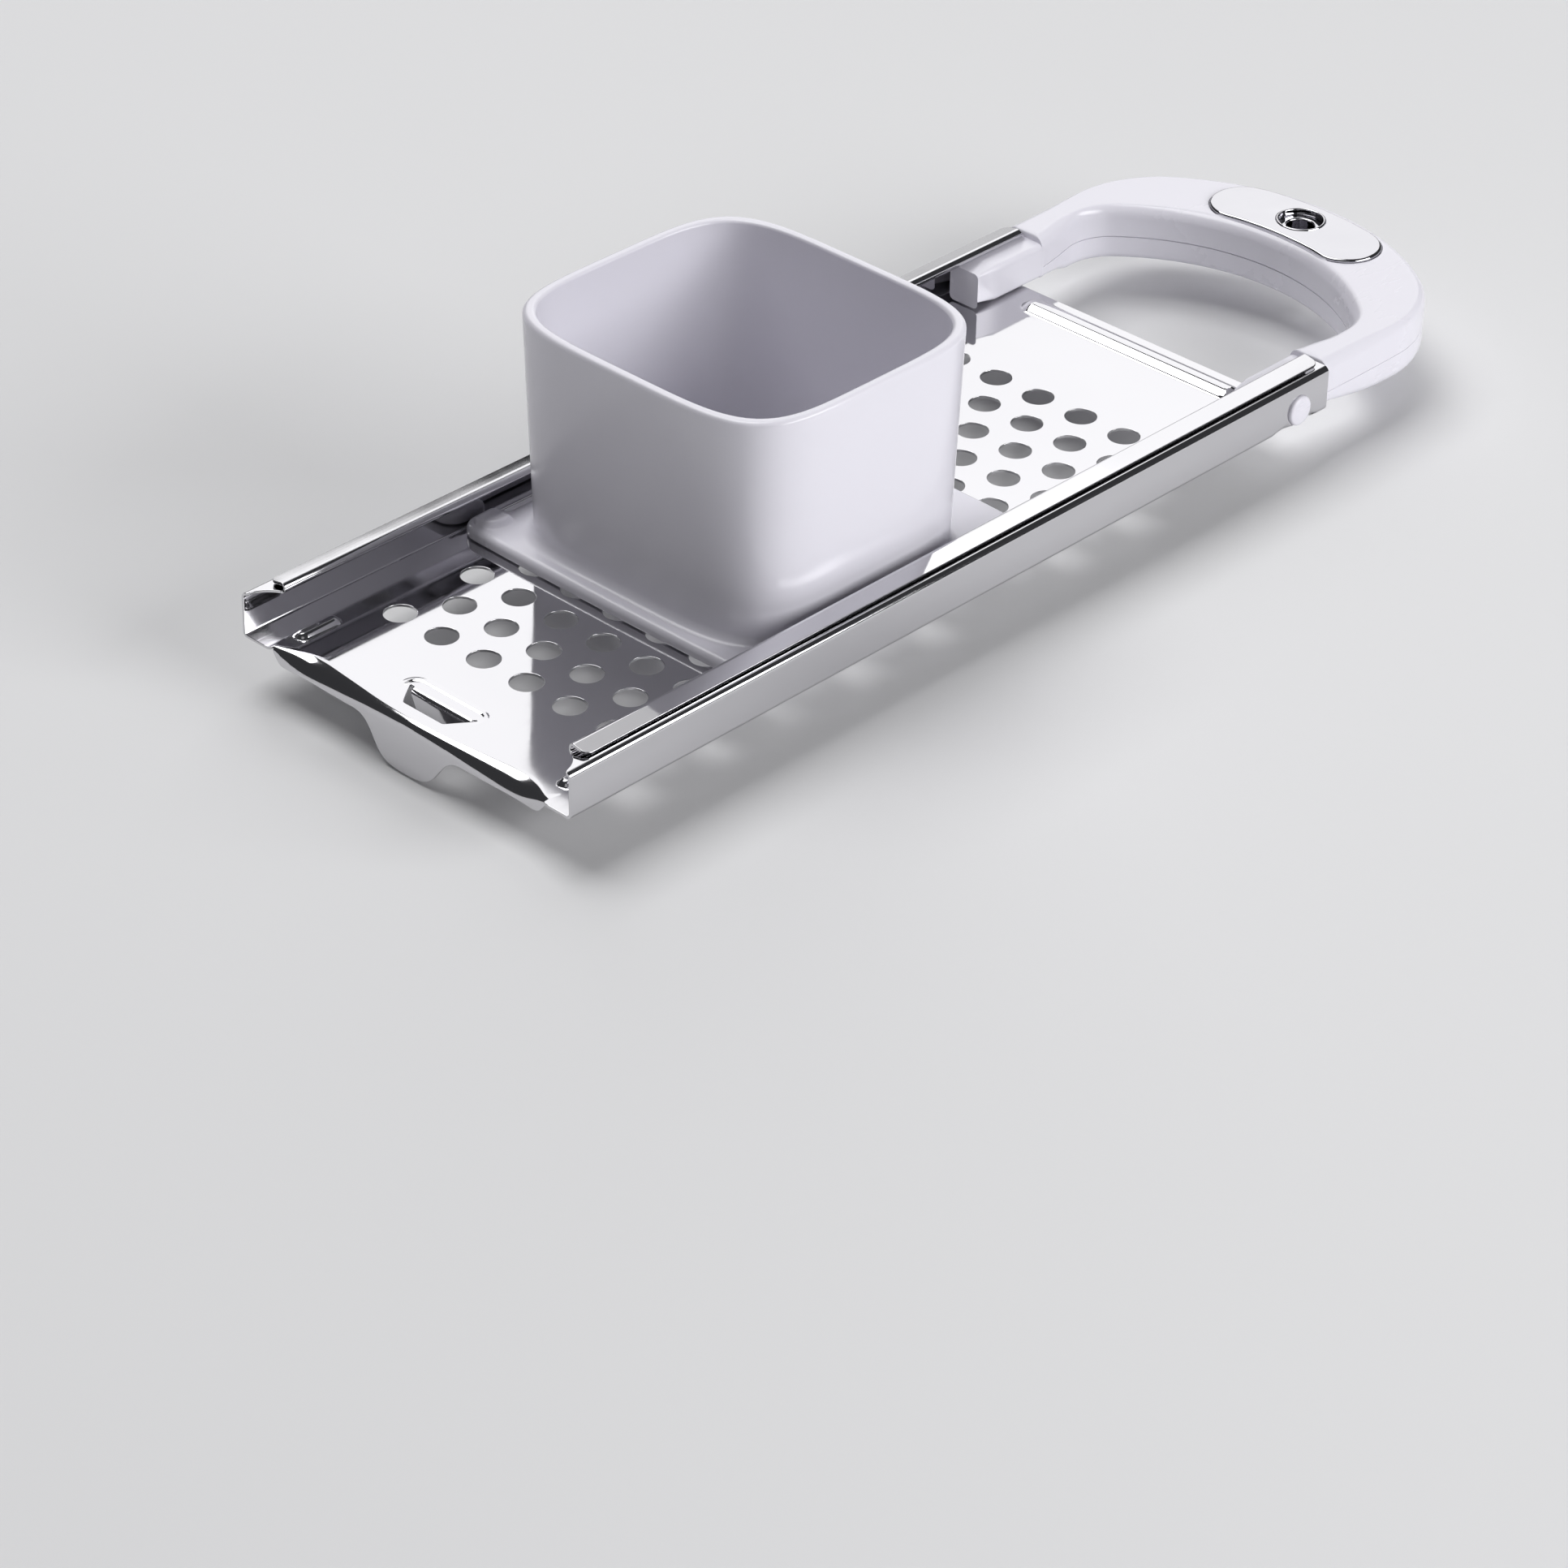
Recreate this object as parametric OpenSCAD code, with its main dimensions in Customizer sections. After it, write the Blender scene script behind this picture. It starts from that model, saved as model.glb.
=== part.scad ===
// Grater-type noodle maker: a perforated steel plate with channel rails,
// a dough hopper that slides in the rails, and a loop handle.
// X runs from the pot hook (front) to the handle (rear), Z is up,
// the origin is under the middle of the whole object, at its lowest level.

/* [Grater plate] */
// Thickness of the sheet
sheet_t = 0.7; // [0.5:0.1:1.0]
// Width over the side walls
plate_w = 107.4; // [105:0.2:112]
// Length of the flat floor
plate_l = 255.1; // [250:0.1:262]
// Pitch between holes across the plate
hole_pitch = 14; // [13:0.5:14.5]
// Diameter of each hole
hole_d = 8; // [5:0.5:9]
// Number of hole rows
hole_rows = 16; // [10:2:16]
// Height of the rail's top flange above the floor
rail_h = 11.3; // [11:0.1:13]
// Width of the top flange, measured in from the outside
flange_w = 7.1; // [6:0.1:8]

/* [Pot hook] */
// Depth of the front tongue below the floor
tongue_drop = 13.6; // [10:0.2:16]
// Depth of the rear hook flap below the floor
flap_drop = 7.4; // [5:0.2:9]

/* [Hopper] */
// Height of the hopper above the floor
hopper_h = 62; // [50:1:75]
// Length of the cup's mouth along the plate
cup_len = 79.8; // [70:0.2:84]
// Width of the cup's mouth across the plate
cup_wid = 87.2; // [80:0.2:89]
// Wall thickness of the cup
cup_t = 2.6; // [2:0.1:3.5]
// Draft of the cup's sides, top to bottom
cup_draft = 1.8; // [0:0.1:2.5]
// Position of the cup's centre along the plate at rest
hopper_x = -14.5; // [-50:0.5:40]

/* [Handle] */
// Level of the handle's top
handle_top = 12; // [11.8:0.1:13]
// Level of the handle's underside
handle_bot = -3.0; // [-5:0.1:-2.5]
// Level of the seam between the two shells
seam_z = 3.4; // [3:0.1:4.5]
// Shell wall thickness
shell_t = 2.2; // [1.8:0.1:3]
// Diameter of the snap studs in the side walls
stud_d = 7.8; // [6:0.1:7.8]
// Bore of the hanging eyelet
eyelet_d = 7.3; // [5:0.1:7.5]

/* [Hidden] */
$fn = 64;
e = 0.01;

x_front = -122.5;                  // floor's front edge, from the middle of the hole field
x_rear = x_front + plate_l;        // floor's rear edge
hw = plate_w/2;                    // half width over the walls
x_wall = x_rear + 5.2;             // rear end of the side walls
x_hem0 = x_front + 7;              // front end of the hem strip
x_hem1 = x_wall - 0.8;             // rear end of the hem strip
lip_x = x_front + 5;               // bend line of the front lip
lip_hw = 44.8;                     // half width of the front lip
row_q = hole_pitch*sqrt(3)/2;      // distance between hole rows
x_apex = 205.6;                    // rearmost point of the handle
ox = -(x_front + x_apex)/2;        // frame offset along the plate
oz = tongue_drop;                  // frame offset up
eye_x = 192.8;                     // eyelet axis
stud_x = x_rear - 5.9;             // snap stud axis
stud_z = 3.5;
leg_in = 40.8;                     // inner face of the handle legs
leg_out = 50.4;                    // outer face of the handle legs
leg_x0 = 113.6;                    // front face of the handle legs
step_x = x_wall + 0.4;             // where the legs grow into the loop

// ---------- helpers ----------
function arc(cx, cy, r, a0, a1, n) = [for (i = [0:n]) [cx + r*cos(a0 + (a1-a0)*i/n), cy + r*sin(a0 + (a1-a0)*i/n)]];
function unit(v) = v/norm(v);
function nrm(p, i) = let (n = len(p), a = p[max(i-1, 0)], b = p[min(i+1, n-1)],
    d1 = i == 0 ? unit(p[1]-p[0]) : unit(p[i]-a), d2 = i == n-1 ? unit(p[n-1]-p[n-2]) : unit(b-p[i]),
    m = unit(d1+d2), c = m*d1) [-m[1]/c, m[0]/c];
// closed outline of a sheet of thickness t along a centre line p
function sheet(p, t) = concat([for (i = [0:len(p)-1]) p[i] + nrm(p, i)*t/2],
                              [for (i = [len(p)-1:-1:0]) p[i] - nrm(p, i)*t/2]);
// extrude a [y, z] outline along X
module along_x(x0, x1) translate([x0, 0, 0]) rotate([90, 0, 90]) linear_extrude(x1-x0) children();
// extrude a [-x, z] outline along Y, centred
module along_y(w) rotate([90, 0, 180]) translate([0, 0, -w/2]) linear_extrude(w) children();
module both() { children(); mirror([0, 1, 0]) children(); }
module place() translate([ox, 0, oz]) children();

// ---------- grater plate ----------
wc = hw - sheet_t/2;               // centre line of the wall
fz = rail_h - sheet_t/2;           // centre line of the top flange
yi = hw - flange_w + 0.9;          // where the hem's fold begins
// wall and top flange, in [y, z]
rail_path = concat([[wc, -sheet_t/2 - 0.0]], [[wc, 2]], arc(wc-1.3, fz-1.3, 1.3, 0, 90, 5), [[yi, fz]]);
// the same with the open hem folded back over the flange
hem_path = concat(rail_path, arc(yi, fz+0.95, 0.95, -108, -270, 9), [[hw-2, fz+1.05]]);

module rails() both() {
    along_x(x_front+0.2, x_hem0) polygon(sheet(rail_path, sheet_t));
    along_x(x_hem0, x_hem1) polygon(sheet(hem_path, sheet_t));
    along_x(x_hem1, x_wall) polygon(sheet(rail_path, sheet_t));
}
module bend_corner() both() difference() {   // rounded outer bend under each wall
    along_x(x_front, x_wall) polygon(concat([[hw-1.4, -sheet_t], [hw-1.4, 0.5], [hw, 0.5]], arc(hw-1.2, 0.5, 1.2, 0, -90, 6)));
    along_x(x_front-1, x_wall+1) polygon(concat([[hw-2, 0], [hw-2, 2], [hw-sheet_t, 2]], arc(hw-sheet_t-0.5, 0.5, 0.5, 0, -90, 5)));
}
module floor_sheet() difference() {
    union() {
        translate([lip_x+0.3, -(hw-1.2), -sheet_t]) cube([x_rear-lip_x-0.3, plate_w-2.4, sheet_t]);
        both() translate([x_front, lip_hw, -sheet_t]) cube([6, hw-1.2-lip_hw, sheet_t]);
    }
    for (i = [0:hole_rows-1]) let (n = 6 - i%2)
        for (k = [0:n-1]) translate([(i-(hole_rows-1)/2)*row_q, (k-(n-1)/2)*hole_pitch, -5]) cylinder(d = hole_d, h = 10, $fn = 48);
    // opening left by the hook flap
    translate([lip_x+7.8, 0, -5]) linear_extrude(10) polygon([[0, 11], [-6.5, 6.4], [-6.5, -6.4], [0, -11]]);
}
// front lip and tongue, cut from one bent sheet
lip_path = concat([[-lip_x-0.5, -sheet_t/2]], arc(-lip_x, -sheet_t/2-3, 3, 90, 12, 7), [[3.7-lip_x, -tongue_drop-1.4]]);
// half outline of the lip's lower edge with its tongue, in [y, z]
tk = tongue_drop/13.6;
lip_edge = [[lip_hw, 1], [lip_hw, -1.2], [lip_hw-3, -4.2], [17, -4.2], [15, -4.6*tk], [13.4, -5.6*tk], [12, -7*tk], [10.9, -8.4*tk],
    [9.9, -9.9*tk], [8.6, -11.4*tk], [6.8, -12.7*tk], [4.6, -13.4*tk], [2.3, -13.6*tk]];
module lip() intersection() {
    along_y(2*lip_hw) polygon(sheet(lip_path, sheet_t));
    translate([lip_x-8, 0, 0]) rotate([90, 0, 90]) linear_extrude(12)
        polygon(concat(lip_edge, [for (i = [len(lip_edge)-1:-1:0]) [-lip_edge[i][0], lip_edge[i][1]]]));
}
flap_path = concat([[-lip_x-9, -sheet_t/2]], arc(-lip_x-7.7, -sheet_t/2-1.1, 1.1, 90, 4, 5), [[-lip_x-6.5, -flap_drop]]);
module hook_flap() intersection() {
    along_y(23) polygon(sheet(flap_path, sheet_t));
    translate([lip_x, 0, 0]) rotate([90, 0, 90]) linear_extrude(12) polygon([[-9.6, 1], [-9.6, -1.2], [-6.2, -flap_drop], [6.2, -flap_drop], [9.6, -1.2], [9.6, 1]]);
}
// domed cross bead near the rear edge
bead_r = 4.3; bead_x = x_rear - 6.8; bead_hl = 31.6;
module bead_form(d) translate([bead_x, 0, 1.8-bead_r-d]) {
    rotate([90, 0, 0]) cylinder(r = bead_r, h = 2*bead_hl, center = true);
    for (s = [-1, 1]) translate([0, s*bead_hl, 0]) sphere(r = bead_r);
}
module upper_half(z0) intersection() { children(); translate([x_front, -hw, z0]) cube([300, plate_w, 12]); }
// stop dimple: a short ridge raised from the floor
module ridge(l, w, h) intersection() {
    along_x(-l/2, l/2) polygon([[-w/2, -0.2], [w/2, -0.2], [0.5, h], [-0.5, h]]);
    along_y(w) polygon([[-l/2, -0.2], [l/2, -0.2], [l/2-2.2, h], [-l/2+2.2, h]]);
}
module grater_plate() color([0.80, 0.80, 0.82]) place() difference() {
    union() {
        floor_sheet();
        rails();
        bend_corner();
        lip();
        hook_flap();
        upper_half(-e) bead_form(0);
        both() translate([-109, 43.2, 0]) ridge(12, 3.4, 1.5);
    }
    // underside of the bead
    upper_half(-sheet_t-e) bead_form(sheet_t);
    both() {
        // scalloped front end of the top flange
        translate([x_front-1, hw-10.2, 5]) cylinder(r = 8.5, h = 12);
        // stud hole
        translate([stud_x, hw+2, stud_z]) rotate([90, 0, 0]) cylinder(d = stud_d+0.4, h = 3);
    }
    // space for the handle legs between the wall ends
    translate([x_rear, -(hw-1.2), -3]) cube([12, plate_w-2.4, 4]);
}

// ---------- hopper ----------
// outline of the cup: a square with full, slightly bowed sides
function cup(a, b, n = 80) = [for (i = [0:n-1]) let (t = 360*i/n, c = cos(t), s = sin(t))
    [a*sign(c)*pow(abs(c), 2/4.6), b*sign(s)*pow(abs(s), 2/4.6)]];
module cup_solid(d, z0, z1) {
    at = cup_len/2-d; bt = cup_wid/2-d;
    k0 = (hopper_h-z0)/hopper_h*cup_draft; k1 = (hopper_h-z1)/hopper_h*cup_draft;
    translate([0, 0, z0]) linear_extrude(z1-z0, scale = (at-k1)/(at-k0)) polygon(cup(at-k0, bt-k0));
}
module hopper_base() linear_extrude(3.3) difference() {
    polygon(concat([[-42.4, -51.2], [-31.2, -52], [-30.4, -47.6], [36.6, -47.6], [37.4, -52], [52, -52], [53, -50.5], [53.6, 0], [53, 50.5],
        [52, 52], [37.4, 52], [36.6, 47.6], [-30.4, 47.6], [-31.2, 52], [-42.4, 51.2], [-43, 30], [-43.2, 0], [-43, -30]]));
}
module pad() linear_extrude(1.6) polygon([[-42.2, 50.9], [-42.2, 45.5], [-40.8, 42.6], [-37.8, 41.4], [-33, 41.4], [-30.9, 44.2], [-31.5, 51.6]]);
module hopper() color([0.90, 0.89, 0.93]) place() translate([hopper_x, 0, 0]) difference() {
    union() {
        translate([0, 0, 0.3]) hopper_base();
        translate([0, 0, 3.5]) both() { pad(); }
        cup_solid(0, 1, hopper_h-0.9);
        cup_solid(0.8, hopper_h-1.2, hopper_h);
    }
    cup_solid(cup_t, -1, hopper_h+1);
}

// ---------- handle ----------
// loop outline, inset by d: outer contour, then inner contour
function loop_out(d, x0) = concat([[x0, -(hw-1-d)], [150, -(hw-0.7-d)]], arc(166, -20, 33-d, -90, -37.1, 8), arc(139.6, 0, 66-d, -37.1, 37.1, 16),
    arc(166, 20, 33-d, 37.1, 90, 8), [[150, hw-0.7-d], [x0, hw-1-d]]);
function loop_in(d, x0) = concat([[x0, leg_in+0.7+d]], arc(154.8, 30, 14-d, 100, 43, 8), arc(122.6, 0, 58+d, 43, -43, 16),
    arc(154.8, -30, 14-d, -43, -100, 8), [[x0, -(leg_in+0.7+d)]]);
module loop(d, z0, z1, x0) translate([0, 0, z0]) linear_extrude(z1-z0) polygon(concat(loop_out(d, x0), loop_in(d, x0)));
module legs() both() {
    translate([leg_x0, leg_in, 1]) cube([step_x-leg_x0, leg_out-leg_in, 9.2]);
    translate([step_x-1, leg_in, seam_z]) cube([4, leg_out-leg_in, 10.2-seam_z]);
    // boss and snap stud
    translate([stud_x-5, leg_out-e, 0.4]) cube([10, hw-sheet_t-0.3-leg_out+e, 9.2]);
    translate([stud_x, leg_out-e, stud_z]) rotate([-90, 0, 0]) cylinder(d = stud_d, h = hw+0.7-leg_out);
    translate([stud_x, hw+0.7-e, stud_z]) rotate([-90, 0, 0]) cylinder(r1 = stud_d/2, r2 = stud_d/2-0.9, h = 0.6);
}
pin_x = 176; pin_y = 40;
module handle_upper_shell() color([0.91, 0.90, 0.94]) place() difference() {
    union() {
        difference() {
            union() {
                loop(0, seam_z, handle_top-2, step_x);
                loop(0.7, handle_top-2-e, handle_top-0.8, step_x);
                loop(1.8, handle_top-0.8-e, handle_top, step_x);
            }
            loop(shell_t, seam_z-1, handle_top-shell_t, step_x+6);
        }
        // columns for the eyelet and the locating pins
        translate([eye_x, 0, seam_z]) cylinder(r = 8.2, h = handle_top-seam_z-1);
        both() translate([pin_x, pin_y, seam_z]) cylinder(r = 4, h = handle_top-seam_z-1);
        legs();
    }
    translate([eye_x, 0, -10]) cylinder(r = eyelet_d/2+0.7, h = 30);
    translate([eye_x, 0, handle_top-2.05]) cylinder(r = 6.35, h = 5);
    both() translate([pin_x, pin_y, seam_z-1]) cylinder(r = 1.95, h = 5.2);
    inlay_form(0.1, handle_top-0.5, handle_top+2);
}
module handle_lower_shell() color([0.88, 0.87, 0.91]) place() difference() {
    union() {
        difference() {
            union() {
                loop(0, handle_bot+2, seam_z, step_x);
                loop(0.7, handle_bot+0.8, handle_bot+2+e, step_x);
                loop(1.8, handle_bot, handle_bot+0.8+e, step_x);
            }
            loop(shell_t, handle_bot+shell_t, seam_z+1, step_x+6);
        }
        translate([eye_x, 0, handle_bot+1]) cylinder(r = 8.2, h = seam_z-handle_bot-1);
        both() {
            translate([pin_x, pin_y, handle_bot+1]) cylinder(r = 4, h = seam_z-handle_bot-1);
            translate([pin_x, pin_y, seam_z-1]) cylinder(r = 1.9, h = 5);
        }
    }
    translate([eye_x, 0, -10]) cylinder(r = eyelet_d/2+0.7, h = 30);
}
// curved plate with round ends, following the loop
module inlay_form(d, z0, z1) translate([0, 0, z0]) linear_extrude(z1-z0) polygon(concat(
    arc(117, 0, 85+d, -12.4, 12.4, 8), arc(190.5, 16.2, 9.7+d, 20, 184, 12),
    arc(113, 0, 70-d, 11.8, -11.8, 8), arc(190.5, -16.2, 9.7+d, 176, 340, 12)));
module handle_inlay() color([0.72, 0.72, 0.75]) place() difference() {
    union() {
        inlay_form(0, handle_top-0.5, handle_top+0.4);
        inlay_form(-0.5, handle_top+0.4-e, handle_top+0.8);
        translate([eye_x, 0, handle_top-2]) cylinder(r = 6.3, h = 2.7);
    }
    translate([eye_x, 0, handle_top-1.4]) cylinder(r = 5.7, h = 5);
    translate([eye_x, 0, handle_top-5]) cylinder(r = eyelet_d/2+0.65, h = 8);
}
module hanging_eyelet() color([0.70, 0.70, 0.73]) place() translate([eye_x, 0, 0]) rotate_extrude() polygon([
    [eyelet_d/2, handle_bot-0.6], [eyelet_d/2+2.2, handle_bot-0.6], [eyelet_d/2+2.4, handle_bot-0.3], [eyelet_d/2+2.2, handle_bot],
    [eyelet_d/2+0.6, handle_bot], [eyelet_d/2+0.6, handle_top-1.4], [eyelet_d/2+1.6, handle_top-1.4], [eyelet_d/2+1.8, handle_top-1.1],
    [eyelet_d/2+1.5, handle_top-0.7], [eyelet_d/2, handle_top-0.7]]);

grater_plate();
hopper();
handle_upper_shell();
handle_lower_shell();
handle_inlay();
hanging_eyelet();
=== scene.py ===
import math

import bpy
import numpy as np
from mathutils import Matrix, Vector
from mathutils.geometry import delaunay_2d_cdt


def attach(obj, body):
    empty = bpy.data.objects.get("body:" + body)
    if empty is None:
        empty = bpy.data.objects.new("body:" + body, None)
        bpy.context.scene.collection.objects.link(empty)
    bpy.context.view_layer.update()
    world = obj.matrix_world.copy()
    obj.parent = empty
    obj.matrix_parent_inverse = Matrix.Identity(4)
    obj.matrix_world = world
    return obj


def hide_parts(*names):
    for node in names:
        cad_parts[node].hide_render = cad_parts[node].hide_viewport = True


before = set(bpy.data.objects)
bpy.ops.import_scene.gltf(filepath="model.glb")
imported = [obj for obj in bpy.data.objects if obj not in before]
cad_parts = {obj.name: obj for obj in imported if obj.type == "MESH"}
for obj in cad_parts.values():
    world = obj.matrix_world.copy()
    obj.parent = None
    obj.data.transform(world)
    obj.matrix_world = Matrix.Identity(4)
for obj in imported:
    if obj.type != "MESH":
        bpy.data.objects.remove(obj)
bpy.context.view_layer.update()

# Lengths below are in millimetres. X and Y run from the middle of the hole
# field, Z from the top of the plate's floor. OX and OZ lead to the row frame.
OX, OZ = -41.55, 13.6
HW = 53.7            # half width over the side walls
T = 0.7              # sheet thickness
RIM = T / 2


def to_frame(p):
    return ((p[0] + OX) * 0.001, p[1] * 0.001, (p[2] + OZ) * 0.001)


def lerp(a, b, t):
    return a + (b - a) * t


def smooth01(t):
    t = min(max(t, 0.0), 1.0)
    return t * t * (3 - 2 * t)


def interp(x, xs, ys):
    return float(np.interp(x, xs, ys))


def new_object(name, verts, faces, material, normals=None):
    me = bpy.data.meshes.new(name)
    me.from_pydata([to_frame(v) for v in verts], [], [tuple(int(i) for i in f) for f in faces])
    me.polygons.foreach_set("use_smooth", [True] * len(me.polygons))
    me.materials.append(material)
    if normals is None:
        corner_normals(me)
    else:
        me.normals_split_custom_set_from_vertices([tuple(float(c) for c in n) for n in normals])
    ob = bpy.data.objects.new(name, me)
    bpy.context.scene.collection.objects.link(ob)
    return ob


def corner_normals(me, limit=42, flats=()):
    """Normals weighted by face area, so that flats stay flat beside rounded edges. Edges sharper than the limit stay sharp."""
    cos_limit = math.cos(math.radians(limit))
    near = [[] for _ in me.vertices]
    face = []
    for p in me.polygons:
        n = tuple(p.normal)
        face.append((n, p.area))
        for v in p.vertices:
            near[v].append(p.index)
    out = []
    for p in me.polygons:
        (nx, ny, nz), _ = face[p.index]
        for v in p.vertices:
            ax = ay = az = 0.0
            for q in near[v]:
                (qx, qy, qz), w = face[q]
                if nx * qx + ny * qy + nz * qz > cos_limit:
                    ax, ay, az = ax + qx * w, ay + qy * w, az + qz * w
            ln = math.sqrt(ax * ax + ay * ay + az * az)
            n = (ax / ln, ay / ln, az / ln) if ln > 1e-20 else (nx, ny, nz)
            if flats and abs(n[2]) > 0.7:
                z = me.vertices[v].co.z * 1000 - OZ
                if any(abs(z - q) < 1e-3 for q in flats):
                    n = (0.0, 0.0, 1.0 if n[2] > 0 else -1.0)
            out.append(n)
    me.normals_split_custom_set(out)


def seg_dist(px, py, ax, ay, bx, by):
    vx, vy = bx - ax, by - ay
    t = ((px - ax) * vx + (py - ay) * vy) / (vx * vx + vy * vy)
    t = min(max(t, 0.0), 1.0)
    return math.hypot(px - ax - vx * t, py - ay - vy * t)


def poly_dist(px, py, poly):
    n = len(poly)
    return min(seg_dist(px, py, *poly[i], *poly[(i + 1) % n]) for i in range(n))


def in_poly(px, py, poly):
    hit = False
    n = len(poly)
    for i in range(n):
        x1, y1 = poly[i]
        x2, y2 = poly[(i + 1) % n]
        if (y1 > py) != (y2 > py) and px < (x2 - x1) * (py - y1) / (y2 - y1) + x1:
            hit = not hit
    return hit


def arc(cx, cy, r, a0, a1, n):
    return [(cx + r * math.cos(math.radians(lerp(a0, a1, i / n))), cy + r * math.sin(math.radians(lerp(a0, a1, i / n)))) for i in range(n + 1)]


def round_corners(pts, seg=6):
    """Closed outline from corner points (x, y, radius)."""
    out = []
    n = len(pts)
    for i in range(n):
        p, a, b = np.array(pts[i][:2], float), np.array(pts[i - 1][:2], float), np.array(pts[(i + 1) % n][:2], float)
        r = pts[i][2]
        if r <= 0:
            out.append(tuple(p))
            continue
        u, w = (a - p) / np.linalg.norm(a - p), (b - p) / np.linalg.norm(b - p)
        half = math.acos(max(-1.0, min(1.0, float(u @ w)))) / 2
        d = r / math.tan(half)
        d = min(d, 0.49 * np.linalg.norm(a - p), 0.49 * np.linalg.norm(b - p))
        rr = d * math.tan(half)
        c = p + (u + w) / np.linalg.norm(u + w) * (rr / math.sin(half))
        s, e = p + u * d, p + w * d
        a0 = math.atan2(*(s - c)[::-1])
        a1 = math.atan2(*(e - c)[::-1])
        da = (a1 - a0 + math.pi) % (2 * math.pi) - math.pi
        for k in range(seg + 1):
            t = a0 + da * k / seg
            out.append((c[0] + rr * math.cos(t), c[1] + rr * math.sin(t)))
    return out


def inset(poly, d):
    """Closed counter-clockwise outline moved inwards by d."""
    n = len(poly)
    out = []
    for i in range(n):
        a, p, b = np.array(poly[i - 1]), np.array(poly[i]), np.array(poly[(i + 1) % n])
        d1, d2 = (p - a), (b - p)
        d1, d2 = d1 / max(np.linalg.norm(d1), 1e-9), d2 / max(np.linalg.norm(d2), 1e-9)
        m = d1 + d2
        m = m / max(np.linalg.norm(m), 1e-9)
        c = max(float(m @ d1), 0.35)
        out.append((p[0] - m[1] * d / c, p[1] + m[0] * d / c))
    return out


def densify(poly, step):
    out = []
    n = len(poly)
    for i in range(n):
        a, b = poly[i], poly[(i + 1) % n]
        k = max(1, int(math.ceil(math.hypot(b[0] - a[0], b[1] - a[1]) / step)))
        for j in range(k):
            out.append((lerp(a[0], b[0], j / k), lerp(a[1], b[1], j / k)))
    return out


def triangulate(rings, points, extra_edges=(), holes=()):
    """Triangles of a flat region. rings are closed outlines, points are loose, holes are tests for what is cut away."""
    co, edges = [], []
    for ring in rings:
        k = len(co)
        co += [Vector((p[0], p[1])) for p in ring]
        edges += [(k + i, k + (i + 1) % len(ring)) for i in range(len(ring))]
    base = len(co)
    co += [Vector((p[0], p[1])) for p in points]
    edges += [(base + a, base + b) for a, b in extra_edges]
    v, _, f, ov, _, _ = delaunay_2d_cdt(co, edges, [], 1, 1e-6)
    v = [(p.x, p.y) for p in v]
    faces = []
    for t in f:
        cx = sum(v[i][0] for i in t) / len(t)
        cy = sum(v[i][1] for i in t) / len(t)
        if any(h(cx, cy) for h in holes):
            continue
        area = sum(v[t[i]][0] * v[t[(i + 1) % len(t)]][1] - v[t[(i + 1) % len(t)]][0] * v[t[i]][1] for i in range(len(t)))
        faces.append(tuple(t) if area > 0 else tuple(reversed(t)))
    back = {}
    for new, olds in enumerate(ov):
        for o in olds:
            back[o] = new
    return v, faces, back


class Build:
    """Collects vertices and faces of one piece."""

    def __init__(self):
        self.v, self.f = [], []

    def ring(self, pts):
        k = len(self.v)
        self.v += [tuple(p) for p in pts]
        return list(range(k, k + len(pts)))

    def bridge(self, a, b, closed=True):
        """Quads between two rings of equal length; the outside is to the right of a -> b seen along the ring."""
        n = len(a)
        for i in range(n if closed else n - 1):
            j = (i + 1) % n
            self.f.append((a[i], a[j], b[j], b[i]))

    def fan(self, ring, point, flip=False):
        c = len(self.v)
        self.v.append(tuple(point))
        n = len(ring)
        for i in range(n):
            j = (i + 1) % n
            self.f.append((ring[j], ring[i], c) if flip else (ring[i], ring[j], c))

    def lathe(self, prof, place, n=64, close=False):
        """prof is [(r, h)], place(r, angle, h) gives the point."""
        rings = [self.ring([place(r, 2 * math.pi * i / n, h) for i in range(n)]) for r, h in prof]
        for a, b in zip(rings, rings[1:]):
            self.bridge(a, b)
        if close:
            self.bridge(rings[-1], rings[0])
        return rings

    def cap(self, rings, z, up=True, holes=(), points=(), height=None):
        """Fills the flat region between rings of vertex numbers, the first being the outline."""
        flat = [[(self.v[i][0], self.v[i][1]) for i in r] for r in rings]
        ids = [i for r in rings for i in r]
        v, f, back = triangulate(flat, points, holes=holes)
        new = {}
        for o, n_ in back.items():
            if o < len(ids):
                new[n_] = ids[o]
        for k, p in enumerate(v):
            if k not in new:
                new[k] = len(self.v)
                self.v.append((p[0], p[1], z + (height(*p) if height else 0)))
        for t in f:
            t = [new[i] for i in t]
            self.f.append(tuple(t) if up else tuple(reversed(t)))


# ---------- materials ----------
def start(name):
    m = bpy.data.materials.new(name)
    m.use_nodes = True
    nt = m.node_tree
    return m, nt, nt.nodes["Principled BSDF"]


def coord(nt, scale=(1, 1, 1)):
    tc = nt.nodes.new("ShaderNodeTexCoord")
    mp = nt.nodes.new("ShaderNodeMapping")
    mp.inputs["Scale"].default_value = scale
    nt.links.new(tc.outputs["Object"], mp.inputs["Vector"])
    return mp.outputs["Vector"]


def noise(nt, vec, scale, detail=4, rough=0.5, distortion=0.0):
    n = nt.nodes.new("ShaderNodeTexNoise")
    n.inputs["Scale"].default_value = scale
    n.inputs["Detail"].default_value = detail
    n.inputs["Roughness"].default_value = rough
    n.inputs["Distortion"].default_value = distortion
    nt.links.new(vec, n.inputs["Vector"])
    return n.outputs["Fac"]


def remap(nt, fac, lo, hi, a=0.0, b=1.0):
    r = nt.nodes.new("ShaderNodeMapRange")
    for k, val in (("From Min", a), ("From Max", b), ("To Min", lo), ("To Max", hi)):
        r.inputs[k].default_value = val
    nt.links.new(fac, r.inputs["Value"])
    return r.outputs["Result"]


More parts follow.
